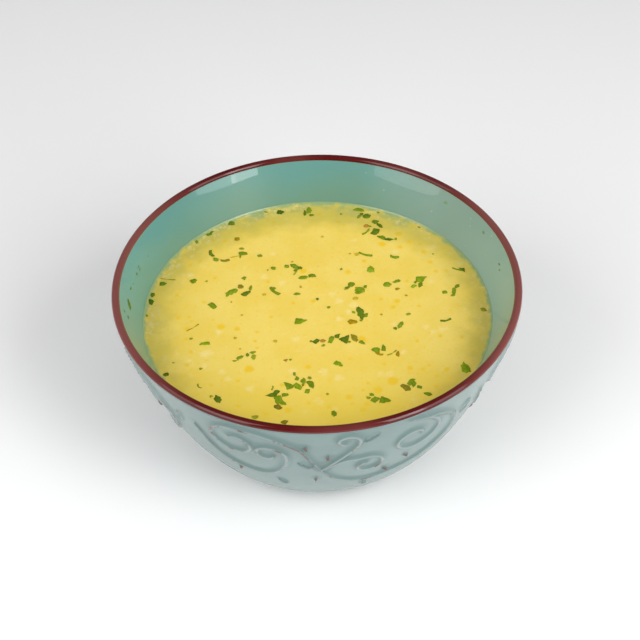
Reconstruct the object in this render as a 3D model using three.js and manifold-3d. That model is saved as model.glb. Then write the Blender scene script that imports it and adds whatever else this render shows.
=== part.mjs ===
// A glazed stoneware bowl with raised scrollwork, filled with thick yellow vegetable soup.
// Millimetres, +Z up. The origin is the centre of the foot ring, on the surface the bowl
// stands on, and -Y is the side that carries the middle of one run of scrollwork.

import * as THREE from "three";
import { mergeVertices } from "three/addons/utils/BufferGeometryUtils.js";
import Module from "manifold-3d";

// --- driving dimensions: the bowl ---

const RIM_RADIUS = 77.5; // outside of the lip
const HEIGHT = 73; // foot to top of the lip
const LIP_RADIUS = 1.5; // the lip is a half round bead, 3 mm across
const FOOT_RADIUS = 39.5; // outside of the foot ring
const FOOT_WIDTH = 5;
const FOOT_RECESS = 3; // how far the underside lies above the table
const FOOT_BEVEL = 0.8;
const FOOT_FLARE = 2; // slope on both sides of the ring
const FLOOR_LEVEL = 8.4; // inside of the bowl at its middle
const SOUP_DROP = 18.9; // lip down to the soup
const SOUP_EDGE_RADIUS = 66.9; // inner wall at soup level
const SIDES = 64; // flats round every turned shape
const OUTSIDE_STEPS = 7;
const INSIDE_STEPS = 7;
const LIP_STEPS = 4;

// --- driving dimensions: the scrollwork ---

const RUNS = 4; // the scrollwork repeats this often round the wall
const BELLY_RADIUS = 71; // where the flat pattern keeps its true width
const JOINT_DROP = 31; // lip down to the point where the stems meet
const RIDGE_HEIGHT = 0.9;
const RIDGE_ROOT = 1.5; // half width under the wall
const ROOT_DEPTH = 0.7; // how far a ridge is sunk in the wall
const RIDGE_STEP = 7; // longest piece of a stem
const CURL_STEP = 42; // degrees of one piece of a curl
const TIP_WIDTH = 0.45; // a ridge narrows to this share of its width at both ends
const TIP_LENGTH = 0.25; // share of a ridge that narrows

// --- driving dimensions: the soup ---

const GAP = 0.35; // glaze to soup
const MENISCUS_WIDTH = 1.6;
const MENISCUS_RISE = 0.5;
const FLAKE_SINK = 0.35; // a parsley flake lies half in the soup
const FLAKE_RISE = 0.45;
const FLAKE_WAVE = 0.15; // height of the waves in it
const WAVE_TURN = 1.1; // radians of wave for each millimetre
const FLAKE_CORNERS = 7;
const FLAKE_TIP = 1.15; // one corner of a flake reaches past its oval
const FLAKE_TEAR = [0.72, 1.02]; // the others end between these shares of it
const SHRED_STATIONS = 4;
const SHRED_SHAPE = 2.6; // longer than this many widths, a flake is a shred
const SHRED_EDGE = [0.35, 0.5]; // shares of its width on each side of its middle line
const SHRED_BEND = 0.7; // most that it bends, in widths
const EDGE_CLEARANCE = 0.8; // flakes stay this far from the wall
const FLAKE_SHIFT = [-0.35, 0.8]; // axis to the point their places are measured from
const FIRST_SEED = 1000;
const SEED_STEP = 37;

const SOUP_LEVEL = HEIGHT - SOUP_DROP;
const wasm = await Module();
wasm.setup();

// --- solids ---

// Positions alone, shared corners merged and slivers without area dropped.
function closedMesh(geometry) {
  const bare = geometry.clone();
  bare.deleteAttribute("normal");
  bare.deleteAttribute("uv");
  const merged = mergeVertices(bare, 1e-4);
  const index = merged.index.array;
  const kept = [];
  for (let i = 0; i < index.length; i += 3) {
    const [a, b, c] = [index[i], index[i + 1], index[i + 2]];
    if (a !== b && b !== c && c !== a) kept.push(a, b, c);
  }
  merged.setIndex(kept);
  return merged;
}

// Six times the enclosed volume: positive when the faces point out.
function windingSum(position, index) {
  const [a, b, c] = [new THREE.Vector3(), new THREE.Vector3(), new THREE.Vector3()];
  let sum = 0;
  for (let i = 0; i < index.length; i += 3) {
    a.fromBufferAttribute(position, index[i]);
    b.fromBufferAttribute(position, index[i + 1]);
    c.fromBufferAttribute(position, index[i + 2]);
    sum += a.dot(b.cross(c));
  }
  return sum;
}

function toSolid(geometry) {
  const mesh = closedMesh(geometry);
  const triVerts = Uint32Array.from(mesh.index.array);
  if (windingSum(mesh.attributes.position, triVerts) < 0) {
    for (let i = 0; i < triVerts.length; i += 3) {
      [triVerts[i + 1], triVerts[i + 2]] = [triVerts[i + 2], triVerts[i + 1]];
    }
  }
  const vertProperties = Float32Array.from(mesh.attributes.position.array);
  return new wasm.Manifold(new wasm.Mesh({ numProp: 3, vertProperties, triVerts }));
}

// Joins neighbours two by two, so that no join has to carry the whole model.
function joinAll(solids) {
  let layer = solids;
  while (layer.length > 1) {
    const next = [];
    for (let i = 0; i < layer.length; i += 2) {
      next.push(i + 1 < layer.length ? layer[i].add(layer[i + 1]) : layer[i]);
    }
    layer = next;
  }
  return layer[0];
}

function toGeometry(solid) {
  const { vertProperties, triVerts } = solid.getMesh();
  const geometry = new THREE.BufferGeometry();
  geometry.setAttribute("position", new THREE.BufferAttribute(new Float32Array(vertProperties), 3));
  geometry.setIndex([...triVerts]);
  geometry.computeVertexNormals();
  return geometry;
}

// A profile of [radius, height] turned round the upright axis.
function turned(profile) {
  const points = profile.map(([radius, height]) => new THREE.Vector2(radius, height));
  return new THREE.LatheGeometry(points, SIDES).rotateX(Math.PI / 2);
}

// --- the bowl's walls ---

const point = (x, y) => new THREE.Vector2(x, y);
// Outside, one curve from above the foot ring to just under the lip.
const outerCurve = new THREE.CubicBezierCurve(
  point(46, 3.4), point(59, 13.5), point(71, 46), point(77.1, 70.5),
);
// Inside, a plain flare from the lip to the soup, and the hidden hollow below it.
const hollow = new THREE.SplineCurve([
  point(SOUP_EDGE_RADIUS, SOUP_LEVEL), point(60.3, 38), point(49, 20.5), point(30, 10.8),
  point(0, FLOOR_LEVEL),
]).getPoints(INSIDE_STEPS);

// Where the outer curve passes a height: its radius, and the way it faces.
function outerWall(height) {
  let [low, high] = [0, 1];
  while (high - low > 1e-6) {
    const middle = (low + high) / 2;
    if (outerCurve.getPoint(middle).y < height) low = middle;
    else high = middle;
  }
  const slope = outerCurve.getTangent(low);
  return { radius: outerCurve.getPoint(low).x, outward: slope.y, upward: -slope.x };
}

function lipProfile() {
  const centre = RIM_RADIUS - LIP_RADIUS;
  const arc = [];
  for (let i = 0; i <= LIP_STEPS; i += 1) {
    const angle = (Math.PI * i) / LIP_STEPS;
    arc.push([
      centre + LIP_RADIUS * Math.cos(angle),
      HEIGHT - LIP_RADIUS + LIP_RADIUS * Math.sin(angle),
    ]);
  }
  return arc;
}

function bowlProfile() {
  const inFoot = FOOT_RADIUS - FOOT_WIDTH;
  return [
    [0, FOOT_RECESS],
    [inFoot - FOOT_FLARE, FOOT_RECESS],
    [inFoot, FOOT_BEVEL],
    [inFoot + FOOT_BEVEL, 0],
    [FOOT_RADIUS - FOOT_BEVEL, 0],
    [FOOT_RADIUS, FOOT_BEVEL],
    [FOOT_RADIUS + FOOT_FLARE, FOOT_RECESS],
    ...outerCurve.getPoints(OUTSIDE_STEPS).map((p) => [p.x, p.y]),
    ...lipProfile(),
    ...hollow.map((p) => [p.x, p.y]),
  ];
}

// --- the scrollwork, drawn flat ---
// Millimetres from the joint of the stems, x round the wall and y up it. A scroll is a stem
// through a few points, then a curl about a centre from one radius and angle (degrees) to
// the radius at its tip, turning anticlockwise by a positive number of degrees.

const SCROLLS = [
  { // broad scroll that sweeps under the left side
    stem: [[-46, 15.5], [-41, 1.5], [-34.5, -5], [-25, -7.8], [-17.5, -4.5], [-13, 3.5]],
    curl: { centre: [-18.5, 10.5], from: 6.5, at: 0, to: 2, turn: 330 },
  },
  { // tall stem that leans left and rolls under itself
    stem: [[0, 0], [-3, 7], [-7.4, 16.5], [-14, 21.8], [-21, 24.8]],
    curl: { centre: [-30, 15], from: 10.5, at: 75, to: 3.2, turn: 410 },
  },
  { // right stem with a small curl under the lip
    stem: [[0, 0], [3.7, 5], [8, 11], [11.6, 16.5]],
    curl: { centre: [8.6, 22], from: 4.8, at: -25, to: 1.6, turn: 290 },
  },
  { // round scroll to the right of the joint
    stem: [[0, 0], [4, 3.6], [8.4, 7]],
    curl: { centre: [17, 0.6], from: 7.6, at: 118, to: 2, turn: -385 },
  },
  { // long line under the right side, up and over to the fork
    stem: [[0, 0], [6, -9.5], [17, -14.3], [31, -12.5], [44, -7.5], [52, 2.5], [50.5, 14],
      [43.5, 21.7], [36, 25]],
  },
  { // scroll hanging from the fork
    stem: [[30, 27.3], [36.5, 24.6]],
    curl: { centre: [33.7, 13], from: 10.6, at: 52, to: 3, turn: -400 },
  },
];

// Leaves and drops: centre, length, width, and the angle of the long side.
const LEAVES = [
  { centre: [-5.6, 3.6], long: 7, wide: 4, turn: 140 },
  { centre: [17, 22.3], long: 7.5, wide: 3.6, turn: 38 },
  { centre: [57, 13], long: 8.5, wide: 4.6, turn: 80 },
  { centre: [-16, -14.5], long: 7, wide: 3.4, turn: 130 },
  { centre: [18.5, -20], long: 6.5, wide: 3, turn: 110 },
];
const DROPS = [
  { centre: [-5, 17.8], long: 3.6, wide: 1.8, turn: 100 },
  { centre: [2.4, 9.6], long: 4.6, wide: 1.8, turn: 85 },
  { centre: [-2.2, -9.8], long: 3.4, wide: 1.8, turn: 80 },
  { centre: [-33.5, -9.8], long: 3.4, wide: 2, turn: 80 },
  { centre: [26, -9], long: 4.4, wide: 2, turn: 130 },
  { centre: [33.5, -2.2], long: 3.6, wide: 1.8, turn: 130 },
];

// The flat pattern laid on the wall: the place, and the directions round, up and out of it.
function onWall(x, y, run) {
  const height = HEIGHT - JOINT_DROP + y;
  const wall = outerWall(height);
  const angle = x / BELLY_RADIUS + (2 * Math.PI * run) / RUNS;
  const [sin, cos] = [Math.sin(angle), -Math.cos(angle)];
  return {
    place: new THREE.Vector3(wall.radius * sin, wall.radius * cos, height),
    round: new THREE.Vector3(-cos, sin, 0),
    up: new THREE.Vector3(-wall.upward * sin, -wall.upward * cos, wall.outward),
    out: new THREE.Vector3(wall.outward * sin, wall.outward * cos, wall.upward),
  };
}

function scrollPath({ stem, curl }) {
  const corners = stem.map(([x, y]) => new THREE.Vector3(x, y, 0));
  if (curl) {
    const pieces = Math.ceil(Math.abs(curl.turn) / CURL_STEP);
    for (let i = 0; i <= pieces; i += 1) {
      const angle = THREE.MathUtils.degToRad(curl.at + (curl.turn * i) / pieces);
      const radius = curl.from + ((curl.to - curl.from) * i) / pieces;
      corners.push(new THREE.Vector3(
        curl.centre[0] + radius * Math.cos(angle),
        curl.centre[1] + radius * Math.sin(angle),
        0,
      ));
    }
  }
  // The stem's longer stretches get points between, along one smooth curve.
  const smooth = new THREE.CatmullRomCurve3(corners, false, "centripetal");
  const path = [corners[0]];
  for (let i = 1; i < corners.length; i += 1) {
    const pieces = i < stem.length
      ? Math.ceil(corners[i].distanceTo(corners[i - 1]) / RIDGE_STEP)
      : 1;
    for (let j = 1; j <= pieces; j += 1) {
      path.push(smooth.getPoint((i - 1 + j / pieces) / (corners.length - 1)));
    }
  }
  return path;
}

// Three-cornered sections joined along a path, with flat ends.
function sweep(sections) {
  const positions = sections.flat().flatMap((p) => [p.x, p.y, p.z]);
  const index = [];
  for (let i = 0; i + 1 < sections.length; i += 1) {
    for (let k = 0; k < 3; k += 1) {
      const [a, b] = [3 * i + k, 3 * i + ((k + 1) % 3)];
      index.push(a, b, b + 3, a, b + 3, a + 3);
    }
  }
  const last = positions.length / 3 - 3;
  index.push(0, 2, 1, last, last + 1, last + 2);
  const geometry = new THREE.BufferGeometry();
  geometry.setAttribute("position", new THREE.Float32BufferAttribute(positions, 3));
  geometry.setIndex(index);
  return geometry;
}

function ridge(scroll, run) {
  const path = scrollPath(scroll);
  const sections = path.map((p, i) => {
    const ahead = path[Math.min(i + 1, path.length - 1)];
    const behind = path[Math.max(i - 1, 0)];
    const along = ahead.clone().sub(behind).normalize();
    const share = i / (path.length - 1);
    const fullness = Math.min(1, Math.min(share, 1 - share) / TIP_LENGTH);
    const width = TIP_WIDTH + (1 - TIP_WIDTH) * fullness;
    const { place, round, up, out } = onWall(p.x, p.y, run);
    const across = round.clone().multiplyScalar(-along.y).addScaledVector(up, along.x);
    const corner = (side, depth) => place.clone()
      .addScaledVector(across, side * width)
      .addScaledVector(out, depth);
    return [
      corner(-RIDGE_ROOT, -ROOT_DEPTH),
      corner(RIDGE_ROOT, -ROOT_DEPTH),
      corner(0, RIDGE_HEIGHT),
    ];
  });
  return toSolid(sweep(sections));
}

// A low six-sided almond, its lower half sunk in the wall.
function almond({ centre, long, wide, turn }, run) {
  const { place, round, up, out } = onWall(centre[0], centre[1], run);
  const angle = THREE.MathUtils.degToRad(turn);
  const along = round.clone().multiplyScalar(Math.cos(angle)).addScaledVector(up, Math.sin(angle));
  const across = out.clone().cross(along);
  const lens = new THREE.SphereGeometry(1, 6, 2).rotateX(Math.PI / 2);
  const size = new THREE.Matrix4().makeScale(long / 2, wide / 2, RIDGE_HEIGHT);
  const stand = new THREE.Matrix4().makeBasis(along, across, out).setPosition(place);
  return toSolid(lens.applyMatrix4(size).applyMatrix4(stand));
}

function bowl() {
  const pieces = [toSolid(turned(bowlProfile()))];
  for (let run = 0; run < RUNS; run += 1) {
    for (const scroll of SCROLLS) pieces.push(ridge(scroll, run));
    for (const leaf of [...LEAVES, ...DROPS]) pieces.push(almond(leaf, run));
  }
  return toGeometry(joinAll(pieces));
}

// --- the soup and the parsley on it ---

// The same easy draw every time: a multiplicative sequence between 0 and 1.
function draws(seed) {
  let state = seed;
  return () => {
    state = (state * 16807) % 2147483647;
    return state / 2147483647;
  };
}

// Larger flakes as they float: x, y, length, width, and the angle of the long side.
const FLAKES = [
  // near left
  [-43, -15.8, 3.8, 1.6, 15], [-29, -23.6, 3.4, 1.4, 25], [-24, -23.6, 3.2, 1.6, 75],
  [-56.5, -31.8, 2.7, 2, -25], [-36.6, -45, 4.4, 2.1, -68], [-11.2, -38.8, 4.6, 2.6, -58],
  [-7.4, -39.4, 3.3, 2.8, -40], [-2.4, -38.6, 4.6, 2.3, -68], [-5.4, -36.6, 3.5, 1.7, 85],
  [-17.4, -43.6, 5, 2, 6], [-14.6, -46, 4, 2.8, -60], [-12.4, -43.4, 2.6, 1.8, 20],
  [-15, -49.4, 2.9, 2.4, -40], [-12.6, -56.6, 2.8, 2, 0],
  // middle
  [-6.2, -4.2, 5.4, 3.4, 38], [17, -1.2, 7.4, 2.9, 92], [13.9, -5.7, 4.2, 2.4, -25],
  [5.3, -15.4, 4, 2, 85], [10.8, -14.8, 4.6, 3.2, 60], [14.2, -14.6, 4.4, 2.2, -72],
  [32.2, -8, 4.2, 2, 66], [49.4, -5.8, 3.8, 1.1, 15], [22.2, -21.4, 3.2, 2.4, -20],
  [25, -20.3, 3.6, 1.6, 88], [30.2, -23.7, 3.2, 1.4, 80], [7.6, -28.3, 3.6, 2.1, -30],
  // near right
  [54.8, -31.4, 6, 3, 82], [34.4, -38.2, 3.6, 2, 62], [32.3, -41.2, 4.6, 2.3, -60],
  [20.6, -47, 3, 2.3, 60], [24.2, -47.4, 4.2, 3.6, -20], [40.2, -44.8, 3, 1.6, -20],
  [5.5, -53.3, 2.9, 1.9, -58],
  // far left
  [-35, 55.6, 2.8, 2.3, 90], [-44, 49.4, 3, 2.4, 30], [-31.8, 44.9, 3, 1.8, 35],
  [-14.2, 61.4, 3.6, 2.2, 5], [-41.8, 36.4, 4, 1.2, -75], [-36.5, 31.5, 3.5, 1.2, 2],
  [-29.4, 36.4, 4.4, 2.2, -65], [-8.4, 27.2, 4, 2, -40], [-4.8, 20.4, 4.4, 2, 10],
  [-33, 13, 5, 2.6, 20], [-28.2, 11.5, 3.2, 2.4, 15], [-48.6, 19.6, 3, 2.6, 60],
  [-60.4, 18.4, 2.7, 2.4, 0], [-40.4, 5, 3.8, 2.5, -35], [-64, 8.4, 4.4, 3, 80],
  [-16.4, 12, 5, 1.2, -55],
  // far right
  [-2.2, 62, 4, 2.4, 90], [18.2, 61.6, 5, 2.6, -12], [21.2, 57.3, 3.8, 1.8, 88],
  [25, 53.8, 3, 2.4, 0], [27, 51.2, 3.8, 1.6, -58], [24.8, 47.8, 3.8, 3.2, 80],
  [27.6, 43.8, 4.4, 2.2, -30], [21, 33, 5.4, 1.1, -25], [32, 31.7, 3.3, 1.2, -15],
  [22.1, 24.3, 4.1, 2.7, 88], [13.6, 15.6, 3.4, 2, 40], [17.3, 12.2, 4.8, 3, -40],
  [28, 15, 3.5, 2.4, 5], [31.6, 16.3, 3.4, 1.4, 5], [41.6, 17.8, 4.4, 3.4, 70],
  [41.2, 14.2, 3, 1.8, 80], [54.2, 10.4, 4, 1.5, 85], [58.8, 22.6, 3.2, 1.8, -70],
];

// Both faces of a flake: corners round its edge, shared by a middle point on each face.
function flakeGeometry(outline, middle, level) {
  const [low, high] = [SOUP_LEVEL - FLAKE_SINK, SOUP_LEVEL + FLAKE_RISE];
  const count = outline.length;
  const positions = [];
  for (const base of [low, high]) {
    for (const [x, y] of [...outline, middle]) positions.push(x, y, base + level(x, y));
  }
  const index = [];
  for (let i = 0; i < count; i += 1) {
    const next = (i + 1) % count;
    const [a, b] = [i + count + 1, next + count + 1];
    index.push(count, next, i, 2 * count + 1, a, b, i, next, b, i, b, a);
  }
  const geometry = new THREE.BufferGeometry();
  geometry.setAttribute("position", new THREE.Float32BufferAttribute(positions, 3));
  geometry.setIndex(index);
  return geometry;
}

// A shred is a narrow strip that bends to one side; other flakes are torn round shapes.
function flakeOutline(long, wide, draw) {
  const outline = [];
  if (long / wide > SHRED_SHAPE) {
    const bend = (2 * draw() - 1) * SHRED_BEND * wide;
    for (const side of [-1, 1]) {
      for (let i = 0; i < SHRED_STATIONS; i += 1) {
        const along = side * ((2 * i) / (SHRED_STATIONS - 1) - 1);
        const edge = side * THREE.MathUtils.lerp(...SHRED_EDGE, draw()) * wide;
        outline.push([(-along * long) / 2, edge + bend * (1 - along ** 2)]);
      }
    }
    return outline;
  }
  const tip = Math.floor(draw() * FLAKE_CORNERS);
  for (let i = 0; i < FLAKE_CORNERS; i += 1) {
    const angle = (2 * Math.PI * (i + 0.5 * draw())) / FLAKE_CORNERS;
    const reach = i === tip ? FLAKE_TIP : THREE.MathUtils.lerp(...FLAKE_TEAR, draw());
    outline.push([(reach * Math.cos(angle) * long) / 2, (reach * Math.sin(angle) * wide) / 2]);
  }
  return outline;
}

function flake([x, y, long, wide, turn], number) {
  const draw = draws(FIRST_SEED + SEED_STEP * number);
  const angle = THREE.MathUtils.degToRad(turn);
  const [cos, sin] = [Math.cos(angle), Math.sin(angle)];
  const [px, py] = [x + FLAKE_SHIFT[0], y + FLAKE_SHIFT[1]];
  const limit = SOUP_EDGE_RADIUS - EDGE_CLEARANCE - long / 2;
  const pull = Math.min(1, limit / Math.hypot(px, py));
  const lay = ([u, v]) => [pull * px + u * cos - v * sin, pull * py + u * sin + v * cos];
  const outline = flakeOutline(long, wide, draw).map(lay);
  const phase = 2 * Math.PI * draw();
  const level = (u, v) => FLAKE_WAVE * Math.sin(WAVE_TURN * (u + v) + phase);
  return toSolid(flakeGeometry(outline, lay([0, 0]), level));
}

// The hollow drawn in by the gap, then closed by the surface and its raised edge.
function soupProfile() {
  const wall = hollow.slice(1, -1).map((p, i) => {
    const along = hollow[i + 2].clone().sub(hollow[i]).normalize();
    return [p.x + GAP * along.y, p.y - GAP * along.x];
  });
  const edge = SOUP_EDGE_RADIUS - GAP;
  return [
    [0, FLOOR_LEVEL + GAP],
    ...wall.reverse(),
    [edge, SOUP_LEVEL],
    [edge, SOUP_LEVEL + MENISCUS_RISE],
    [edge - MENISCUS_WIDTH, SOUP_LEVEL],
    [0, SOUP_LEVEL],
  ];
}

function soup() {
  const flakes = FLAKES.map((row, number) => flake(row, number));
  return toGeometry(toSolid(turned(soupProfile())).add(joinAll(flakes)));
}

// --- the model ---

function part(name, geometry, color, roughness) {
  const material = new THREE.MeshStandardMaterial({ color, roughness, metalness: 0 });
  const mesh = new THREE.Mesh(geometry, material);
  mesh.name = name;
  return mesh;
}

const model = new THREE.Group();
model.add(part("bowl", bowl(), 0x9db4b0, 0.2));
model.add(part("soup", soup(), 0xe9cf5e, 0.25));

export default model;
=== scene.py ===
# A glazed stoneware bowl with raised scrollwork, filled with thick yellow vegetable soup and
# strewn with chopped parsley. Metres, +Z up; the bowl stands on z = 0 and -Y faces the viewer.

import math

import bpy
import numpy as np
from mathutils import Matrix, Vector


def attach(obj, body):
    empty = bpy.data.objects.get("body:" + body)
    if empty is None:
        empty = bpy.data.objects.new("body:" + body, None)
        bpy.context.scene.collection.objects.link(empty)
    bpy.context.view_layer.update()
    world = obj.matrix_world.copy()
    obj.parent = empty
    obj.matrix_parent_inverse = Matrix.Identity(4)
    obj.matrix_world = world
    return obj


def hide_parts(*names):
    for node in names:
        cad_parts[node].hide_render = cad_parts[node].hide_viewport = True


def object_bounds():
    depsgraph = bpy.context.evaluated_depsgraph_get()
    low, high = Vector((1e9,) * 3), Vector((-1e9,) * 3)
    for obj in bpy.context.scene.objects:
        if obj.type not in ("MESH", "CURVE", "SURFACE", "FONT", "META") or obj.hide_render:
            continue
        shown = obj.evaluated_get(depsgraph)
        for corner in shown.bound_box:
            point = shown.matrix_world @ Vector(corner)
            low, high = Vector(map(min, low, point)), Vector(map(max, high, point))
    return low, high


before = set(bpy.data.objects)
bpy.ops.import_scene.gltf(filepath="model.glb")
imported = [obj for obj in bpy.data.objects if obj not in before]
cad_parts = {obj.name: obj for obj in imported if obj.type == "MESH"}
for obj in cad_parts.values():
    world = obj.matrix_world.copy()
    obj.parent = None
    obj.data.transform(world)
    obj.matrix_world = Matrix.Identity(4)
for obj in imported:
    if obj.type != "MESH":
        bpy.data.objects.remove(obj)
cad_box = [list(corner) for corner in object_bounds()]
MM = 0.001

# --- camera ---
# It looks down at the bowl from seven lip radii away. Pixels are those of a 640 pixel square
# frame; the middle of the lip's circle falls a little above and left of the frame's middle.

HEIGHT = cad_box[1][2]
RIM_RADIUS = cad_box[1][0]
LOOK_DOWN = math.radians(42.0)
LEAN = math.radians(-1.35)
DISTANCE = 7.0 * RIM_RADIUS
FRAME_PX = 640
FOCAL_PX = 1434.0
LIP_MIDDLE_PX = (316.6, 277.5)
SENSOR_MM = 36.0

seat = Vector((0, -math.cos(LOOK_DOWN), math.sin(LOOK_DOWN))) * DISTANCE
forward = -seat.normalized()
right = Vector((1, 0, 0))
up = right.cross(forward)
leaned_right = math.cos(LEAN) * right + math.sin(LEAN) * up
leaned_up = math.cos(LEAN) * up - math.sin(LEAN) * right
straight = Matrix((leaned_right, leaned_up, -forward)).transposed()
off_middle = Vector((
    (LIP_MIDDLE_PX[0] - FRAME_PX / 2) / FOCAL_PX,
    -(LIP_MIDDLE_PX[1] - FRAME_PX / 2) / FOCAL_PX,
    -1.0,
))
turn = Vector((0, 0, -1)).rotation_difference(off_middle.normalized()).to_matrix()
camera = bpy.data.objects.new("camera", bpy.data.cameras.new("camera"))
camera.matrix_world = Matrix.Translation(seat + Vector((0, 0, HEIGHT))) @ (
    straight @ turn.inverted()
).to_4x4()
camera.data.sensor_width = SENSOR_MM
camera.data.lens = SENSOR_MM * FOCAL_PX / FRAME_PX
camera.data.clip_start = 0.01
bpy.context.scene.collection.objects.link(camera)
bpy.context.scene.camera = camera

# --- floor and light ---
# A pale table in a dim white room under a faintly lit ceiling, with tall windows to the front
# on either side. The glaze mirrors the windows high on the back wall, so their lower edges lie
# where a mirror there would show them to the camera.

FLOOR_HALF = 3.0
FLOOR_COLOUR = (0.90, 0.90, 0.90, 1)
FLOOR_ROUGHNESS = 0.7
ROOM_LIGHT = 0.22
CEILING_GLOW = 0.5
CEILING_SIDE = 1.8
CEILING_HEIGHT = 1.6
WINDOW_HEIGHT = 0.95
WINDOW_LEAN = math.radians(35)
# Lower corners, the right-hand one first as seen from the bowl, and how bright each is, in
# watts to the square metre and steradian. Where two overlap, their light adds up.
WINDOWS = {
    "window_right_near": ((0.630, -1.020, 0.250), (0.880, -0.816, 0.208), 6.6),
    "window_right_far": ((0.844, -0.853, 0.215), (1.118, -0.435, 0.132), 3.2),
    "window_left_wide": ((-1.148, -0.348, 0.108), (-0.673, -0.994, 0.242), 2.0),
    "window_left_high": ((-1.000, -0.660, 0.200), (-0.673, -0.994, 0.262), 2.0),
}

bpy.context.scene.view_settings.view_transform = "Standard"


def surface_material(name, colour, roughness):
    """A new material with one principled surface."""
    material = bpy.data.materials.new(name)
    material.use_nodes = True
    shader = material.node_tree.nodes["Principled BSDF"]
    shader.inputs["Base Color"].default_value = colour
    shader.inputs["Roughness"].default_value = roughness
    return material


floor_mesh = bpy.data.meshes.new("floor")
floor_corners = [(x * FLOOR_HALF, y * FLOOR_HALF, 0)
                 for x, y in ((-1, -1), (1, -1), (1, 1), (-1, 1))]
floor_mesh.from_pydata(floor_corners, [], [(0, 1, 2, 3)])
floor_mesh.materials.append(surface_material("pale_floor", FLOOR_COLOUR, FLOOR_ROUGHNESS))
floor = bpy.data.objects.new("floor", floor_mesh)
bpy.context.scene.collection.objects.link(floor)

world = bpy.data.worlds.new("room")
world.use_nodes = True
world.node_tree.nodes["Background"].inputs["Color"].default_value = (1, 1, 1, 1)
world.node_tree.nodes["Background"].inputs["Strength"].default_value = ROOM_LIGHT
bpy.context.scene.world = world

ceiling_lamp = bpy.data.lights.new("ceiling", "AREA")
ceiling_lamp.size = CEILING_SIDE
ceiling_lamp.energy = CEILING_GLOW * math.pi * CEILING_SIDE**2
ceiling = bpy.data.objects.new("ceiling", ceiling_lamp)
ceiling.location.z = CEILING_HEIGHT
ceiling.visible_glossy = False
bpy.context.scene.collection.objects.link(ceiling)

for name, (first, second, glow) in WINDOWS.items():
    edge = Vector(second) - Vector(first)
    across = edge.normalized()
    inward = Vector((0, 0, 1)).cross(across).normalized()
    upward = Vector((0, 0, 1)) * math.cos(WINDOW_LEAN) + inward * math.sin(WINDOW_LEAN)
    upward = (upward - across * upward.dot(across)).normalized()
    lamp = bpy.data.lights.new(name, "AREA")
    lamp.shape = "RECTANGLE"
    lamp.size, lamp.size_y = edge.length, WINDOW_HEIGHT
    lamp.energy = glow * math.pi * edge.length * WINDOW_HEIGHT
    window = bpy.data.objects.new(name, lamp)
    centre = (Vector(first) + Vector(second)) / 2 + upward * WINDOW_HEIGHT / 2
    axes = Matrix((across, upward, across.cross(upward))).transposed()
    window.matrix_world = Matrix.Translation(centre) @ axes.to_4x4()
    bpy.context.scene.collection.objects.link(window)

# --- bowl ---
# Thrown stoneware with moulded scrollwork, glazed pale blue-green all over, with a dark red
# glaze on the lip. One skin: a profile turned round the axis, with a finer grid where the
# scrollwork is raised out of it.

LIP_RADIUS = 1.5 * MM
FOOT_RADIUS = 39.5 * MM
FOOT_WIDTH = 5.0 * MM
FOOT_RECESS = 3.0 * MM
FOOT_BEVEL = 0.8 * MM
FOOT_FLARE = 2.0 * MM
SOUP_LEVEL = HEIGHT - 18.9 * MM
SOUP_EDGE = 66.9 * MM
# The straight wall from the soup to the lip: how far it leans out and how far it rises.
WALL_RUN = RIM_RADIUS - 2 * LIP_RADIUS - SOUP_EDGE
WALL_RISE = HEIGHT - LIP_RADIUS - SOUP_LEVEL
# Radius and height of the outer curve's corners, and of the points under the soup's edge.
OUTER_CORNERS = np.array([(46, 3.4), (59, 13.5), (71, 46), (77.1, 70.5)]) * MM
HOLLOW_CORNERS = np.array([(60.3, 38), (49, 20.5), (30, 10.8), (0, 8.4)]) * MM
FLOOR_LEVEL = HOLLOW_CORNERS[-1, 1]
# Where the red glaze starts, as a share of the way from the outer curve's end to the lip.
RED_START = 0.6
# How finely the profile is drawn: the outer curve, the wall below and above the scrollwork,
# the lip, the inner wall and each piece of the hollow. One more ring lies close under the lip,
# this share of the way to the soup, and keeps the lip's rounded shading off the straight wall.
CURVE_POINTS = 2000
BELOW_ROWS = 14
ABOVE_ROWS = 4
LIP_ROWS = 17
INNER_ROWS = 12
HOLLOW_STEPS = 5
FIRST_INNER = 0.01
# The scrollwork, in millimetres. It is drawn flat, true to size where the wall's radius is
# BELLY_RADIUS. Its stems meet JOINT_DROP under the lip, and PATTERN_BAND says how far it
# reaches below and above that. It repeats RUNS times round the wall.
RUNS = 4
BELLY_RADIUS = 71.0
JOINT_DROP = 31.0
RIDGE_HEIGHT = 0.9
RIDGE_HALF_WIDTH = 1.5
POOL_REACH = 2.7
POOL_RISE = 1.5
PATTERN_BAND = (-25.0, 28.5)
FINE_ROWS = 95
FINE_COLUMNS = 880
COARSE_COLUMNS = FINE_COLUMNS // 4

# Scrolls drawn flat, in millimetres from the joint of the stems: a stem through a few points,
# then a curl (centre, first radius, first angle, last radius, degrees turned).
SCROLLS = [
    ([(-46, 15.5), (-41, 1.5), (-34.5, -5), (-25, -7.8), (-17.5, -4.5), (-13, 3.5)],
     ((-18.5, 10.5), 6.5, 0, 2, 330)),
    ([(0, 0), (-3, 7), (-7.4, 16.5), (-14, 21.8), (-21, 24.8)], ((-30, 15), 10.5, 75, 3.2, 410)),
    ([(0, 0), (3.7, 5), (8, 11), (11.6, 16.5)], ((8.6, 22), 4.8, -25, 1.6, 290)),
    ([(0, 0), (4, 3.6), (8.4, 7)], ((17, 0.6), 7.6, 118, 2, -385)),
    ([(0, 0), (6, -9.5), (17, -14.3), (31, -12.5), (44, -7.5), (52, 2.5), (50.5, 14),
      (43.5, 21.7), (36, 25)], None),
    ([(30, 27.3), (36.5, 24.6)], ((33.7, 13), 10.6, 52, 3, -400)),
]
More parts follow.
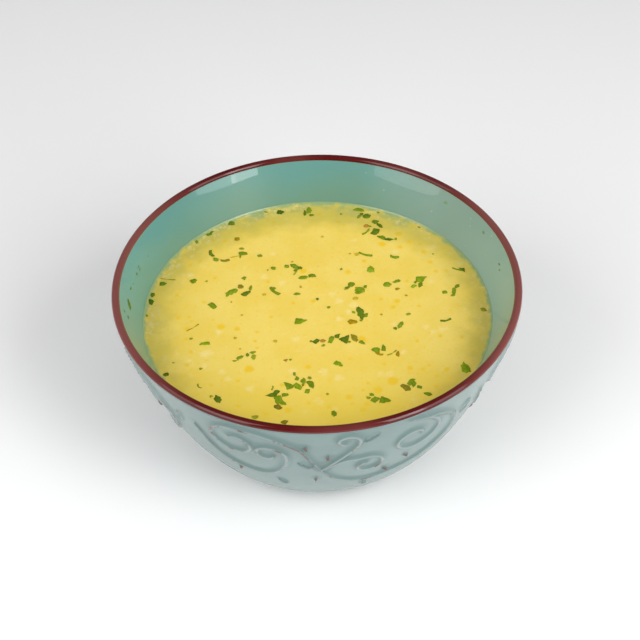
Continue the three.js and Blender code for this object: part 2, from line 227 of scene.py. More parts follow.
# Leaves and drops: centre, length, width and the angle of the long side.
LEAVES = [(-5.6, 3.6, 7, 4, 140), (17, 22.3, 7.5, 3.6, 38), (57, 13, 8.5, 4.6, 80),
          (-16, -14.5, 7, 3.4, 130), (18.5, -20, 6.5, 3, 110)]
DROPS = [(-5, 17.8, 3.6, 1.8, 100), (2.4, 9.6, 4.6, 1.8, 85), (-2.2, -9.8, 3.4, 1.8, 80),
         (-33.5, -9.8, 3.4, 2, 80), (26, -9, 4.4, 2, 130), (33.5, -2.2, 3.6, 1.8, 130)]


def smooth_line(corners, per_piece):
    """Catmull-Rom: between two corners a cubic whose end slopes are half the step between
    each end's neighbours; beyond the ends the line goes straight on."""
    corners = np.asarray(corners, float)
    padded = np.vstack([2 * corners[0] - corners[1], corners, 2 * corners[-1] - corners[-2]])
    t = np.linspace(0, 1, per_piece, endpoint=False)[None, :, None]
    a, b, c, d = (padded[i:len(padded) - 3 + i, None] for i in range(4))
    line = 0.5 * (2 * b + (c - a) * t + (2 * a - 5 * b + 4 * c - d) * t**2
                  + (3 * b - a - 3 * c + d) * t**3)
    return np.vstack([line.reshape(-1, corners.shape[1]), corners[-1:]])


def scroll_line(stem, curl):
    """The stem's points, then a curl whose radius and angle both change evenly."""
    points = [tuple(map(float, p)) for p in stem]
    if curl:
        (cx, cy), first, start, last, turned = curl
        share = np.linspace(0, 1, int(abs(turned) / 30) + 1)
        radius = first + (last - first) * share
        angle = np.radians(start + turned * share)
        points += list(zip(cx + radius * np.cos(angle), cy + radius * np.sin(angle)))
    return smooth_line(points, 12)


def bump(distance, half_width):
    """A rounded ridge: the square of a cosine, one on the line and nothing at its half width."""
    return np.cos(np.clip(distance / half_width, 0, 1) * math.pi / 2) ** 2


def almond(x, y, leaf):
    """How far inside an almond: one on its middle line, nothing on its edge, where the half
    width is the full one times one minus the square of the place along it."""
    cx, cy, long, wide, angle = leaf
    cos, sin = math.cos(math.radians(angle)), math.sin(math.radians(angle))
    along = ((x - cx) * cos + (y - cy) * sin) / (long / 2)
    across = ((y - cy) * cos - (x - cx) * sin) / (wide / 2)
    taper = np.clip(1 - along**2, 1e-4, None)
    return np.clip(1 - np.abs(across) / taper, 0, 1) * (np.abs(along) < 1)


def smoothstep(low, high, value):
    """Nothing below the low value, one above the high one, three t squared less two t cubed
    between them."""
    t = np.clip((value - low) / (high - low), 0, 1)
    return t * t * (3 - 2 * t)


def scrollwork(x, y):
    """Height of the pattern, how deep the glaze pools there and how bare its crests are worn,
    at flat places in millimetres that repeat round the wall. The glaze pools just above each
    ridge and inside the leaves."""
    period = 2 * math.pi * BELLY_RADIUS / RUNS
    height, pool, worn = (np.zeros_like(x) for _ in range(3))
    for stem, curl in SCROLLS:
        line = scroll_line(stem, curl)
        share = np.linspace(0, 1, len(line))
        width = RIDGE_HALF_WIDTH * (0.6 + 0.4 * smoothstep(0, 0.12, np.minimum(share, 1 - share)))
        gap_x = (x[..., None] - line[:, 0] + period / 2) % period - period / 2
        gap_y = y[..., None] - line[:, 1]
        height = np.maximum(height, bump(np.hypot(gap_x, gap_y), width).max(-1))
        above = np.hypot(gap_x, gap_y - POOL_RISE).min(-1)
        pool += np.exp(-(above / POOL_REACH) ** 2)
    for leaf in LEAVES:
        inside = almond((x - leaf[0] + period / 2) % period - period / 2 + leaf[0], y, leaf)
        edge = smoothstep(0, 0.3, inside) - 0.8 * smoothstep(0.3, 0.85, inside)
        height = np.maximum(height, 0.8 * edge)
        pool += 1.3 * smoothstep(0.25, 0.7, inside)
    for drop in DROPS:
        wrapped = (x - drop[0] + period / 2) % period - period / 2 + drop[0]
        inside = almond(wrapped, y, drop)
        height = np.maximum(height, 1.1 * smoothstep(0, 0.9, inside))
        worn = np.maximum(worn, smoothstep(0.12, 0.5, inside))
        above = np.hypot(wrapped - drop[0], y - drop[1] - POOL_RISE)
        pool += 0.9 * np.exp(-(above / POOL_REACH) ** 2)
    return height, pool, worn


def bezier(corners, t):
    """A cubic curve: four corners weighted by (1-t)^3, 3t(1-t)^2, 3t^2(1-t) and t^3."""
    t = np.asarray(t)[:, None]
    a, b, c, d = corners
    return (1 - t) ** 3 * a + 3 * t * (1 - t) ** 2 * b + 3 * t**2 * (1 - t) * c + t**3 * d


def unit_slope(line):
    """Which way a line runs at each of its points: the step between the neighbours, made one
    long."""
    slope = np.gradient(line, axis=0)
    return slope / np.linalg.norm(slope, axis=1)[:, None]


def turned_rows(profile, columns):
    """Rings of points: each profile point (radius, height) carried round the axis, starting
    at -Y and turning towards +X."""
    angle = np.linspace(0, 2 * math.pi, columns, endpoint=False)
    radius, height = profile[:, :1], profile[:, 1:]
    return np.stack([radius * np.sin(angle), -radius * np.cos(angle),
                     height + 0 * angle], -1)


def ring_faces(first, rows, columns):
    """Quads between rings of vertices that follow one another from the given number on."""
    i = np.arange(columns)
    j = (i + 1) % columns
    low = first + columns * np.arange(rows - 1)[:, None]
    high = low + columns
    return np.stack([low + i, low + j, high + j, high + i], -1).reshape(-1, 4)


def end_faces(middle, ring, columns, upward):
    """Triangles that close a ring to the one vertex at its middle."""
    i = np.arange(columns)
    faces = np.stack([ring + i, ring + (i + 1) % columns, 0 * i + middle], 1)
    return faces if upward else faces[:, ::-1]


def fan_faces(coarse, fine, columns, upward):
    """Joins a ring to one four times as fine: five triangles for each side of the coarse one."""
    i = np.arange(columns)
    j = (i + 1) % columns
    first = fine + 4 * i
    last = fine + (4 * i + 4) % (4 * columns)
    steps = [first, first + 1, first + 2, first + 3, last]
    faces = [np.stack([coarse + i, steps[k + 1], steps[k]], 1) for k in (0, 1)]
    faces += [np.stack([coarse + i, coarse + j, steps[2]], 1)]
    faces += [np.stack([coarse + j, steps[k + 1], steps[k]], 1) for k in (2, 3)]
    faces = np.vstack(faces)
    return faces if upward else faces[:, ::-1]


def make_piece(name, points, faces, material):
    """A mesh object with smooth faces, riding on the bowl's body."""
    mesh = bpy.data.meshes.new(name)
    every_face = [face for block in faces for face in block.tolist()]
    mesh.from_pydata(points.reshape(-1, 3).tolist(), [], every_face)
    mesh.polygons.foreach_set("use_smooth", np.ones(len(mesh.polygons), bool))
    mesh.materials.append(material)
    mesh.update()
    piece = bpy.data.objects.new(name, mesh)
    bpy.context.scene.collection.objects.link(piece)
    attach(piece, "root")
    return piece


def add_values(piece, name, values):
    """One number for each vertex, for the material to read."""
    layer = piece.data.attributes.new(name, "FLOAT", "POINT")
    layer.data.foreach_set("value", np.ascontiguousarray(values, np.float32).ravel())


# The wall's outer curve at even steps of its length, and the stretch of it with scrollwork.
curve = bezier(OUTER_CORNERS, np.linspace(0, 1, CURVE_POINTS))
pattern_y = (curve[:, 1] - HEIGHT) / MM + JOINT_DROP
length = np.concatenate([[0], np.cumsum(np.hypot(*np.diff(curve, axis=0).T))])
band_start, band_end = np.interp(PATTERN_BAND, pattern_y, length)


def on_curve(lengths):
    """Points of the outer curve at given lengths along it."""
    return np.stack([np.interp(lengths, length, curve[:, k]) for k in (0, 1)], 1)


# The foot from its recess outwards: a sloped side, two rounded edges and the outer side.
in_foot = FOOT_RADIUS - FOOT_WIDTH
foot = np.array([
    (10 * MM, FOOT_RECESS), (20 * MM, FOOT_RECESS), (in_foot - FOOT_FLARE - 0.6 * MM, FOOT_RECESS),
    (in_foot - FOOT_FLARE, FOOT_RECESS - 0.2 * MM), (in_foot, FOOT_BEVEL),
    (in_foot + 0.3 * FOOT_BEVEL, 0.3 * FOOT_BEVEL), (in_foot + FOOT_BEVEL, 0),
    (FOOT_RADIUS - FOOT_BEVEL, 0), (FOOT_RADIUS - 0.3 * FOOT_BEVEL, 0.3 * FOOT_BEVEL),
    (FOOT_RADIUS, FOOT_BEVEL), (FOOT_RADIUS + FOOT_FLARE, FOOT_RECESS),
])
below = on_curve(np.linspace(0, band_start, BELOW_ROWS, endpoint=False))
band = on_curve(np.linspace(band_start, band_end, FINE_ROWS))
above = on_curve(np.linspace(band_end, length[-1], ABOVE_ROWS)[1:])
bead_start = np.array((RIM_RADIUS, HEIGHT - LIP_RADIUS))
above = np.vstack([above, above[-1] + RED_START * (bead_start - above[-1])])
lip_angle = np.linspace(0, math.pi, LIP_ROWS)
lip = np.stack([
    RIM_RADIUS - LIP_RADIUS + LIP_RADIUS * np.cos(lip_angle),
    HEIGHT - LIP_RADIUS + LIP_RADIUS * np.sin(lip_angle),
], 1)
down = np.concatenate([[FIRST_INNER], np.linspace(0, 1, INNER_ROWS)[1:]])[:, None]
inner_wall = down * ((SOUP_EDGE, SOUP_LEVEL) - lip[-1]) + lip[-1]
hollow = smooth_line(np.vstack([(SOUP_EDGE, SOUP_LEVEL), HOLLOW_CORNERS]), HOLLOW_STEPS)

# The band's grid, with the scrollwork worked out for one run and repeated.
run_columns = FINE_COLUMNS // RUNS
flat_x = np.arange(run_columns) / run_columns * 2 * math.pi * BELLY_RADIUS / RUNS
flat_y = (band[:, 1] - HEIGHT) / MM + JOINT_DROP
pattern = scrollwork(*np.broadcast_arrays(flat_x[None, :], flat_y[:, None]))
relief, pool, worn = (np.tile(values, (1, RUNS)) for values in pattern)
row = np.arange(FINE_ROWS)
relief = relief * (smoothstep(0, 3, row) * smoothstep(0, 3, row[::-1]))[:, None]
slope = unit_slope(band)
out_angle = np.linspace(0, 2 * math.pi, FINE_COLUMNS, endpoint=False)
outward = np.stack([
    slope[:, 1:] * np.sin(out_angle), -slope[:, 1:] * np.cos(out_angle),
    -slope[:, :1] + 0 * out_angle,
], -1)
raised = turned_rows(band, FINE_COLUMNS) + outward * (relief * RIDGE_HEIGHT * MM)[..., None]

lower = turned_rows(np.vstack([foot, below]), COARSE_COLUMNS)
upper = turned_rows(np.vstack([above, lip, inner_wall, hollow[1:-1]]), COARSE_COLUMNS)
points = np.vstack([
    [[0, 0, FOOT_RECESS]], lower.reshape(-1, 3), raised.reshape(-1, 3), upper.reshape(-1, 3),
    [[0, 0, FLOOR_LEVEL]],
])
first_fine = 1 + len(lower) * COARSE_COLUMNS
first_upper = first_fine + FINE_ROWS * FINE_COLUMNS
last = len(points) - 1
up_to_band = [
    end_faces(0, 1, COARSE_COLUMNS, False),
    ring_faces(1, len(lower), COARSE_COLUMNS),
    fan_faces(first_fine - COARSE_COLUMNS, first_fine, COARSE_COLUMNS, True),
    ring_faces(first_fine, FINE_ROWS, FINE_COLUMNS),
    fan_faces(first_upper, first_upper - FINE_COLUMNS, COARSE_COLUMNS, False),
]
faces = up_to_band + [
    ring_faces(first_upper, len(upper), COARSE_COLUMNS),
    end_faces(last, last - COARSE_COLUMNS, COARSE_COLUMNS, True),
]
# The lip's faces come after the rings of the wall above the scrollwork.
first_lip_face = sum(len(block) for block in up_to_band) + (len(above) - 1) * COARSE_COLUMNS


class Recipe:
    """Writes a material as nodes. Each call adds what it names and returns its output. A
    value may be an output or a number, and a colour an output or three numbers."""

    def __init__(self, name, colour, roughness):
        self.material = surface_material(name, (*colour, 1), roughness)
        self.nodes = self.material.node_tree.nodes
        self.links = self.material.node_tree.links
        self.shader = self.nodes["Principled BSDF"].inputs
        self.place = self.nodes.new("ShaderNodeTexCoord").outputs["Object"]

    def fill(self, socket, value):
        """Joins an output to an input, or sets the input's own value."""
        if isinstance(value, bpy.types.NodeSocket):
            self.links.new(value, socket)
        else:
            socket.default_value = (*value, 1) if isinstance(value, tuple) else value

    def own(self, name, output="Fac"):
        """The piece's own number or colour at each point."""
        reader = self.nodes.new("ShaderNodeAttribute")
        reader.attribute_name = name
        return reader.outputs[output]

    def axis(self, name):
        """The piece's own X, Y or Z in metres."""
        parts = self.nodes.new("ShaderNodeSeparateXYZ")
        self.links.new(self.place, parts.inputs[0])
        return parts.outputs[name]

    def noise(self, scale, detail=3.0, roughness=0.5):
        """A cloudy pattern; the scale is in clouds to the metre."""
        cloud = self.nodes.new("ShaderNodeTexNoise")
        cloud.inputs["Scale"].default_value = scale
        cloud.inputs["Detail"].default_value = detail
        cloud.inputs["Roughness"].default_value = roughness
        self.links.new(self.place, cloud.inputs["Vector"])
        return cloud.outputs["Fac"]

    def dots(self, scale, radius, soft, share, dimensions="3D"):
        """Round dots near the points of a cell pattern, in that share of its cells. Scale is
        in cells to the metre, radius and softness in cells."""
        cells = self.nodes.new("ShaderNodeTexVoronoi")
        cells.voronoi_dimensions = dimensions
        cells.inputs["Scale"].default_value = scale
        self.links.new(self.place, cells.inputs["Vector"])
        parts = self.nodes.new("ShaderNodeSeparateColor")
        self.links.new(cells.outputs["Color"], parts.inputs[0])
        chosen = self.between(parts.outputs[0], share, share - 0.02)
        close = self.between(cells.outputs["Distance"], radius + soft, radius - soft)
        return self.combine("MULTIPLY", chosen, close)

    def between(self, value, low, high, bottom=0.0, top=1.0):
        """Spreads a value between low and high over bottom to top, held beyond both ends."""
        spread = self.nodes.new("ShaderNodeMapRange")
        spread.interpolation_type = "SMOOTHSTEP"
        self.links.new(value, spread.inputs["Value"])
        for socket, number in zip(("From Min", "From Max", "To Min", "To Max"),
                                  (low, high, bottom, top)):
            spread.inputs[socket].default_value = number
        return spread.outputs["Result"]

    def combine(self, operation, first, second):
        """Two values added, multiplied, or the larger taken."""
        node = self.nodes.new("ShaderNodeMath")
        node.operation = operation
        self.fill(node.inputs[0], first)
        self.fill(node.inputs[1], second)
        return node.outputs[0]

    def blend(self, share, first, second, mode="MIX"):
        """The second colour over the first by a share."""
        mix = self.nodes.new("ShaderNodeMix")
        mix.data_type = "RGBA"
        mix.blend_type = mode
        self.fill(mix.inputs["Factor"], share)
        under, over = [socket for socket in mix.inputs if socket.type == "RGBA"]
        self.fill(under, first)
        self.fill(over, second)
        return next(socket for socket in mix.outputs if socket.type == "RGBA")

    def bumps(self, height, strength, distance):
        """Small bumps in the surface, by tilting its light only."""
        node = self.nodes.new("ShaderNodeBump")
        node.inputs["Strength"].default_value = strength
        node.inputs["Distance"].default_value = distance
        self.links.new(height, node.inputs["Height"])
        self.links.new(node.outputs["Normal"], self.shader["Normal"])


PALE_GLAZE = (0.172, 0.254, 0.240)
POOLED_GLAZE = (0.095, 0.168, 0.158)
CREST_GLAZE = (0.270, 0.318, 0.300)
# A painted sheen that lightens the outer wall towards both sides.
SIDE_SHEEN_GLAZE = (0.33, 0.385, 0.370)
WORN_CLAY = (0.110, 0.050, 0.043)
INSIDE_GLAZE = (0.114, 0.345, 0.338)
FILMED_GLAZE = (0.140, 0.328, 0.252)
# A painted sheen on the right side of the inner wall.
RIGHT_SHEEN_GLAZE = (0.255, 0.435, 0.385)
FAR_SHADE = (0.94, 0.78, 0.73)
STAIN = (0.20, 0.27, 0.10)
SPECK = (0.62, 0.66, 0.60)
LIP_GLAZE = (0.078, 0.0030, 0.0028)
# Brown of the lip, also used as a painted sheen on its sides.
LIP_BROWN_AND_SHEEN = (0.215, 0.067, 0.058)

glaze = Recipe("bowl_glaze", PALE_GLAZE, 0.25)
height = glaze.own("relief")
outer = glaze.blend(glaze.between(glaze.noise(60, 4), 0.35, 0.7),
                    PALE_GLAZE, tuple(0.9 * c for c in PALE_GLAZE))
outer = glaze.blend(glaze.between(glaze.own("pool"), 0.15, 1.3, 0, 0.85), outer, POOLED_GLAZE)
outer = glaze.blend(glaze.between(height, 0.5, 0.98, 0, 0.8), outer, CREST_GLAZE)
# It is lighter towards both sides, a painted sheen, and worn to bare clay on some crests and on the
# drops.
sideways = glaze.combine("MULTIPLY", glaze.axis("X"), glaze.axis("X"))
side_sheen = glaze.between(sideways, (30 * MM) ** 2, (68 * MM) ** 2, 0, 0.45)
outer = glaze.blend(side_sheen, outer, SIDE_SHEEN_GLAZE)
bare = glaze.combine("MULTIPLY", glaze.between(height, 0.5, 0.85, 0, 0.8),
                     glaze.between(glaze.noise(85, 4, 0.7), 0.53, 0.62))
outer = glaze.blend(glaze.combine("MAXIMUM", bare, glaze.own("worn")), outer, WORN_CLAY)
glaze.fill(glaze.shader["Base Color"], outer)
glaze.shader["Specular IOR Level"].default_value = 0.5
glaze.bumps(glaze.noise(700), 0.05, 0.3 * MM)

# Inside, the glaze is blue-green under the lip and greener towards the soup that has stood there,
# lightened on the right by a painted sheen and darkened on the far side by painted shade, with a
# few stains and pale specks.
lining = Recipe("inner_glaze", INSIDE_GLAZE, 0.32)
depth = lining.combine("ADD", lining.axis("Z"),
                       lining.between(lining.noise(45), 0.25, 0.75, -3 * MM, 3 * MM))
inner = lining.blend(lining.between(depth, 73 * MM, 55 * MM), INSIDE_GLAZE, FILMED_GLAZE)
inner = lining.blend(lining.between(lining.axis("X"), 15 * MM, 68 * MM), inner, RIGHT_SHEEN_GLAZE)
far = lining.between(lining.axis("Y"), -15 * MM, 60 * MM)
inner = lining.blend(far, inner, FAR_SHADE, "MULTIPLY")
stains = lining.combine("MULTIPLY", lining.between(lining.noise(260, 4, 0.6), 0.62, 0.74, 0, 0.5),
                        lining.between(lining.noise(28, 2), 0.5, 0.62))
inner = lining.blend(stains, inner, STAIN)
specks = lining.combine("MULTIPLY", lining.dots(420, 0.09, 0.05, 0.16),
                        lining.between(lining.axis("X"), 5 * MM, 35 * MM, 0, 0.6))
inner = lining.blend(specks, inner, SPECK)
lining.fill(lining.shader["Base Color"], inner)
lining.shader["Specular IOR Level"].default_value = 0.3
lining.shader["Coat Weight"].default_value = 0.62
lining.shader["Coat Roughness"].default_value = 0.01
lining.bumps(lining.noise(700), 0.05, 0.3 * MM)

# The lip is deep red in front and behind; on both sides a painted sheen turns it brown, and a few
# random patches are brown too.
red = Recipe("lip_glaze", LIP_GLAZE, 0.10)
sideways = red.combine("MULTIPLY", red.axis("X"), red.axis("X"))
sheen_and_brown_patches = red.combine("MAXIMUM", red.between(sideways, (38 * MM) ** 2, (72 * MM) ** 2, 0, 0.8),
                      red.between(red.noise(20), 0.5, 0.7, 0, 0.25))
red.fill(red.shader["Base Color"], red.blend(sheen_and_brown_patches, LIP_GLAZE, LIP_BROWN_AND_SHEEN))
red.shader["Specular IOR Level"].default_value = 0.33

bowl = make_piece("bowl_body", points, faces, glaze.material)
bowl.data.materials.append(red.material)
bowl.data.materials.append(lining.material)
face_number = np.arange(len(bowl.data.polygons)) - first_lip_face
kind = (face_number >= 0).astype(np.int32) + (face_number >= len(lip) * COARSE_COLUMNS)
bowl.data.polygons.foreach_set("material_index", kind.astype(np.int32))
for name, values in (("relief", relief), ("pool", pool), ("worn", worn)):
    rest = len(points) - first_upper
    add_values(bowl, name, np.concatenate([np.zeros(first_fine), values.ravel(), np.zeros(rest)]))
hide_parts("bowl")

# --- soup ---
# Thick yellow vegetable soup. It fills the hollow, climbs the glaze a little at its edge, and thins
# there, so that the glaze darkens it, and painted shade of the wall darkens it too. Drops of oil
# are more golden, curds lighter in colour.

SOUP_COLUMNS = 400
SOUP_RINGS = 150
# Rings crowd towards the edge: the way left to it is this power of the share of rings left.
RING_CROWDING = 1.3
GLAZE_GAP = 0.35 * MM
MENISCUS_RISE = 1.2 * MM
MENISCUS_LENGTH = 0.75 * MM
# Drops of oil and curds, as read off four enlarged views: how far across and down the view, in
# its pixels, and the width in millimetres. Each view is VIEW_PX wide and shows the part of the
# frame that has this left edge, top edge and width.
VIEW_PX = 1568
VIEWS = {"far left": (140, 200, 180), "near left": (140, 310, 180),
         "far right": (310, 200, 185), "near right": (310, 310, 185)}
OIL_DROPS = {
    "far left": [
        (325, 828, 1.6), (560, 885, 1.5), (330, 1025, 1.6), (430, 1020, 1.6), (455, 1050, 1.2),
        (640, 1045, 1), (1140, 1022, 1.4), (1335, 900, 1.6), (1115, 712, 1.5), (650, 683, 1.6),
        (438, 567, 1.7), (525, 535, 1.2), (625, 345, 2.6), (742, 358, 1.9), (488, 430, 2),
        (1420, 620, 3), (1170, 190, 1.5),
    ],
    "near left": [
        (705, 150, 3), (845, 168, 2.2), (410, 165, 2), (400, 250, 1.4), (440, 362, 1.4),
        (950, 518, 3.6), (850, 620, 1.6), (615, 650, 1.2), (410, 475, 1.6), (1005, 270, 1.4),
        (1015, 195, 1.4), (1465, 498, 2.2), (1290, 870, 2.6), (1095, 910, 1.4), (855, 840, 1.4),
        (1235, 655, 1.8), (1020, 330, 1.2), (1475, 810, 1.4),
    ],
    "far right": [
        (755, 285, 3), (845, 360, 2.2), (970, 440, 2.3), (1020, 525, 1.8), (610, 370, 3),
        (760, 400, 2), (1070, 598, 1.7), (1155, 605, 1.4), (930, 375, 1.5), (240, 190, 1.8),
        (290, 210, 1.2), (80, 115, 1.8), (320, 612, 2.4), (455, 515, 1.8), (820, 685, 1.6),
        (705, 910, 2), (925, 900, 1.4), (735, 855, 2.4), (605, 835, 1.4), (25, 860, 2),
    ],
    "near right": [
        (700, 598, 4), (580, 680, 3.2), (330, 738, 2.6), (845, 488, 2.2), (625, 457, 1.6),
        (960, 500, 1.6), (1010, 470, 1.2), (1160, 500, 2), (445, 680, 1.4), (490, 620, 1.4),
        (450, 850, 2.2), (480, 800, 1.8), (910, 265, 1.5), (1100, 220, 1.6), (1290, 232, 1.4),
        (1080, 560, 1.5), (1070, 640, 1.6), (440, 245, 3), (340, 418, 1.2), (360, 795, 1.4),
        (160, 820, 1.6),
    ],
}
CURDS = {
    "far left": [
        (435, 655, 2.6), (375, 650, 1.8), (1160, 470, 2.2), (1240, 725, 2.4), (1080, 670, 2.6),
        (1000, 150, 2.4), (1310, 60, 2.6), (1370, 65, 2.2), (1170, 135, 2.4), (1270, 165, 2),
        (190, 665, 2), (130, 940, 2.4), (80, 1060, 2.6), (560, 320, 2), (340, 480, 2.2),
        (270, 560, 2.4),
    ],
    "near left": [
        (555, 385, 3.4), (605, 375, 2.8), (570, 490, 2.2), (425, 440, 1.8), (315, 372, 1.2),
        (215, 420, 1.8), (690, 190, 2.4), (710, 540, 2.4), (1355, 250, 2.8), (1320, 530, 2.6),
        (1440, 885, 1.6), (960, 690, 3.2), (1540, 780, 2.4), (770, 600, 2.4), (90, 140, 3),
    ],
    "far right": [
        (1195, 445, 1.8), (1080, 350, 3), (1045, 400, 3), (1270, 530, 2.6), (1335, 545, 1.8),
        (1390, 655, 1.6), (1025, 690, 2.2), (375, 205, 1.6), (370, 340, 2), (720, 440, 2.2),
        (155, 50, 2.4), (325, 95, 2), (975, 280, 2.6), (370, 890, 3.4), (250, 860, 3),
        (190, 800, 2.2), (1150, 935, 1.2), (1310, 920, 1.2), (750, 225, 1.6),
    ],
    "near right": [
        (110, 525, 3.6), (250, 580, 3.4), (95, 785, 2.4), (680, 540, 2.8), (600, 545, 2.2),
        (790, 355, 2.4), (1110, 165, 2.6), (980, 140, 2.4), (1150, 150, 2), (710, 115, 1.8),
        (880, 760, 2), (210, 840, 2), (1470, 250, 2.2), (1390, 410, 1.6), (1465, 150, 2),
        (1040, 190, 2.2), (250, 75, 2.4), (330, 20, 2.6),
    ],
}


def on_soup(px, py):
    """Where the camera's line through a pixel meets the soup's plane, in metres."""
    line = camera.matrix_world.to_3x3() @ Vector((
        (px - FRAME_PX / 2) / FOCAL_PX, -(py - FRAME_PX / 2) / FOCAL_PX, -1))
    start = camera.matrix_world.translation
    return start + line * ((SOUP_LEVEL - start.z) / line.z)


def in_frame(readings):
    """Each reading's pixel in the frame, its view's corner plus its place at the frame's own
    scale, and its width."""
    for view, rows in readings.items():
        left, top, wide = VIEWS[view]
        for across, down, width in rows:
            yield round(left + across * wide / VIEW_PX), round(top + down * wide / VIEW_PX), width


def spots(points, readings, soft, lobes):
    """How much each point lies in one of the spots, whose edges are that soft, in
    millimetres. Lobes makes them uneven: the reach swings by that share round the spot."""
    share = np.zeros(len(points))
    for px, py, width in in_frame(readings):
        middle = on_soup(px, py)
        x, y = (points[:, 0] - middle.x) / MM, (points[:, 1] - middle.y) / MM
        angle = np.arctan2(y, x) + px
        distance = np.hypot(x, y) * (1 + lobes * (np.sin(3 * angle) + 0.6 * np.sin(5 * angle + py)))
        share = np.maximum(share, smoothstep((width + soft) / 2, (width - soft) / 2, distance))
    return share


soup_edge = SOUP_EDGE + MENISCUS_RISE * WALL_RUN / WALL_RISE
share = np.linspace(0, 1, SOUP_RINGS + 1)[1:]
ring_radius = soup_edge * (1 - (1 - share) ** RING_CROWDING)
ring_height = SOUP_LEVEL + MENISCUS_RISE * np.exp((ring_radius - soup_edge) / MENISCUS_LENGTH)
surface = np.stack([ring_radius, ring_height], 1)[::-1]
slope = unit_slope(hollow)
inset = hollow + GLAZE_GAP * np.stack([slope[:, 1], -slope[:, 0]], 1)
rings = turned_rows(np.vstack([inset[1:-1][::-1], surface]), SOUP_COLUMNS)
points = np.vstack([
    [[0, 0, FLOOR_LEVEL + GLAZE_GAP]], rings.reshape(-1, 3), [[0, 0, SOUP_LEVEL]],
])
last = len(points) - 1
faces = [
    end_faces(0, 1, SOUP_COLUMNS, False),
    ring_faces(1, len(rings), SOUP_COLUMNS),
    end_faces(last, last - SOUP_COLUMNS, SOUP_COLUMNS, True),
]

SOUP_YELLOW = (0.825, 0.613, 0.106)
SOUP_PALE = (0.85, 0.650, 0.142)
SOUP_GOLD = (0.84, 0.545, 0.022)
SOUP_NEAR = (0.83, 0.600, 0.045)
# Olive of the thin edge, also used as painted shade of the wall.
SOUP_OLIVE_AND_SHADE = (0.47, 0.395, 0.055)
SOUP_TEAL = (0.21, 0.33, 0.150)
CURD = (0.88, 0.70, 0.25)
EDGE_CURD = (0.66, 0.55, 0.21)

broth = Recipe("soup_surface", SOUP_YELLOW, 0.22)
from_edge = broth.own("from_edge")
yellow = broth.blend(broth.between(broth.noise(70), 0.35, 0.65), SOUP_YELLOW, SOUP_PALE)
grainy = broth.between(broth.noise(1300, 2, 0.6), 0.42, 0.62, 0, 0.16)
yellow = broth.blend(grainy, yellow, SOUP_GOLD)
curdled = broth.combine("MULTIPLY", broth.own("curd"),
                        broth.between(broth.noise(700), 0.3, 0.6, 0.35, 0.9))
curdled = broth.combine("MAXIMUM", curdled,
                        broth.between(broth.noise(330, 4, 0.6), 0.60, 0.72, 0, 0.3))
yellow = broth.blend(curdled, yellow, CURD)
oily = broth.combine("MAXIMUM", broth.combine("MULTIPLY", broth.own("oil"), 0.95),
                     broth.combine("MULTIPLY", broth.dots(330, 0.17, 0.09, 0.35, "2D"), 0.34))
yellow = broth.blend(oily, yellow, SOUP_GOLD)
yellow = broth.blend(broth.between(broth.axis("Y"), -20 * MM, -60 * MM, 0, 0.5), yellow, SOUP_NEAR)
# Towards the wall it is darker olive, partly for thinner soup and partly painted shade of the wall,
# least so in front and most so on the far side, where the glaze shows through, with granules, and
# last a line of the glaze's colour.
ragged = broth.combine("ADD", from_edge, broth.between(broth.noise(130, 4), 0.25, 0.75, -2.5, 2.5))
shaded = broth.combine("ADD", ragged, broth.between(broth.axis("Y"), -5 * MM, -50 * MM, 0, 7))
shaded = broth.combine("ADD", shaded, broth.between(broth.axis("Y"), 30 * MM, 64 * MM, 0, -6))
# Painted shade of the wall darkens the edge here, along with the olive of thinner soup.
yellow = broth.blend(broth.between(shaded, 1.5, 16.0, 0.66, 0), yellow, SOUP_OLIVE_AND_SHADE)
thin = broth.combine("MULTIPLY", broth.between(ragged, 7.0, 1.0),
                     broth.between(broth.noise(120, 4), 0.36, 0.60))
thin = broth.combine("MULTIPLY", thin, broth.between(broth.axis("Y"), 40 * MM, 64 * MM, 0.08, 0.8))
yellow = broth.blend(thin, yellow, SOUP_TEAL)
granules = broth.combine("MULTIPLY", broth.between(broth.noise(620, 3, 0.6), 0.47, 0.66),
                         broth.between(ragged, 9.0, 2.0, 0, 0.85))
granules = broth.combine("MULTIPLY", granules, broth.between(broth.noise(45, 2), 0.42, 0.56))
yellow = broth.blend(granules, yellow, EDGE_CURD)
rim = broth.combine("ADD", from_edge, broth.between(broth.noise(300), 0.3, 0.7, -0.6, 0.6))
yellow = broth.blend(broth.between(rim, 0.2, 1.8, 0.85, 0), yellow, SOUP_TEAL)
broth.fill(broth.shader["Base Color"], yellow)
broth.shader["Subsurface Weight"].default_value = 0.15
broth.shader["Subsurface Radius"].default_value = (1.0, 0.6, 0.15)
broth.shader["Subsurface Scale"].default_value = 3 * MM
broth.bumps(broth.noise(500), 0.12, 0.4 * MM)

soup = make_piece("soup_body", points, faces, broth.material)
add_values(soup, "from_edge", (soup_edge - np.hypot(points[:, 0], points[:, 1])) / MM)
add_values(soup, "oil", spots(points, OIL_DROPS, 0.8, 0.05))
add_values(soup, "curd", spots(points, CURDS, 1.8, 0.12))
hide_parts("soup")

# --- parsley ---
# Chopped parsley, floating half sunk: torn flakes, wedges, little leaves, narrow shreds and
# stems, with brown bits among them and a few flecks stuck to the wall. Each is a thin domed
# plate with a ragged edge. The larger ones stand where the solid has them, or a little further
# out at the soup's edge.

# A torn oval has seven corners, one of them a tip and the rest at uneven reaches. A shred's
# edges and bend are shares of its width. Other corners are nudged, and every side is torn.
FLAKE_CORNERS = 7
FLAKE_TIP = 1.15
FLAKE_TEAR = (0.72, 1.02)
SHRED_STATIONS = 4
SHRED_EDGE = (0.35, 0.5)
SHRED_BEND = 0.45
CORNER_NUDGE = 0.30
EDGE_TEAR = 0.13
POINTS_PER_SIDE = 3
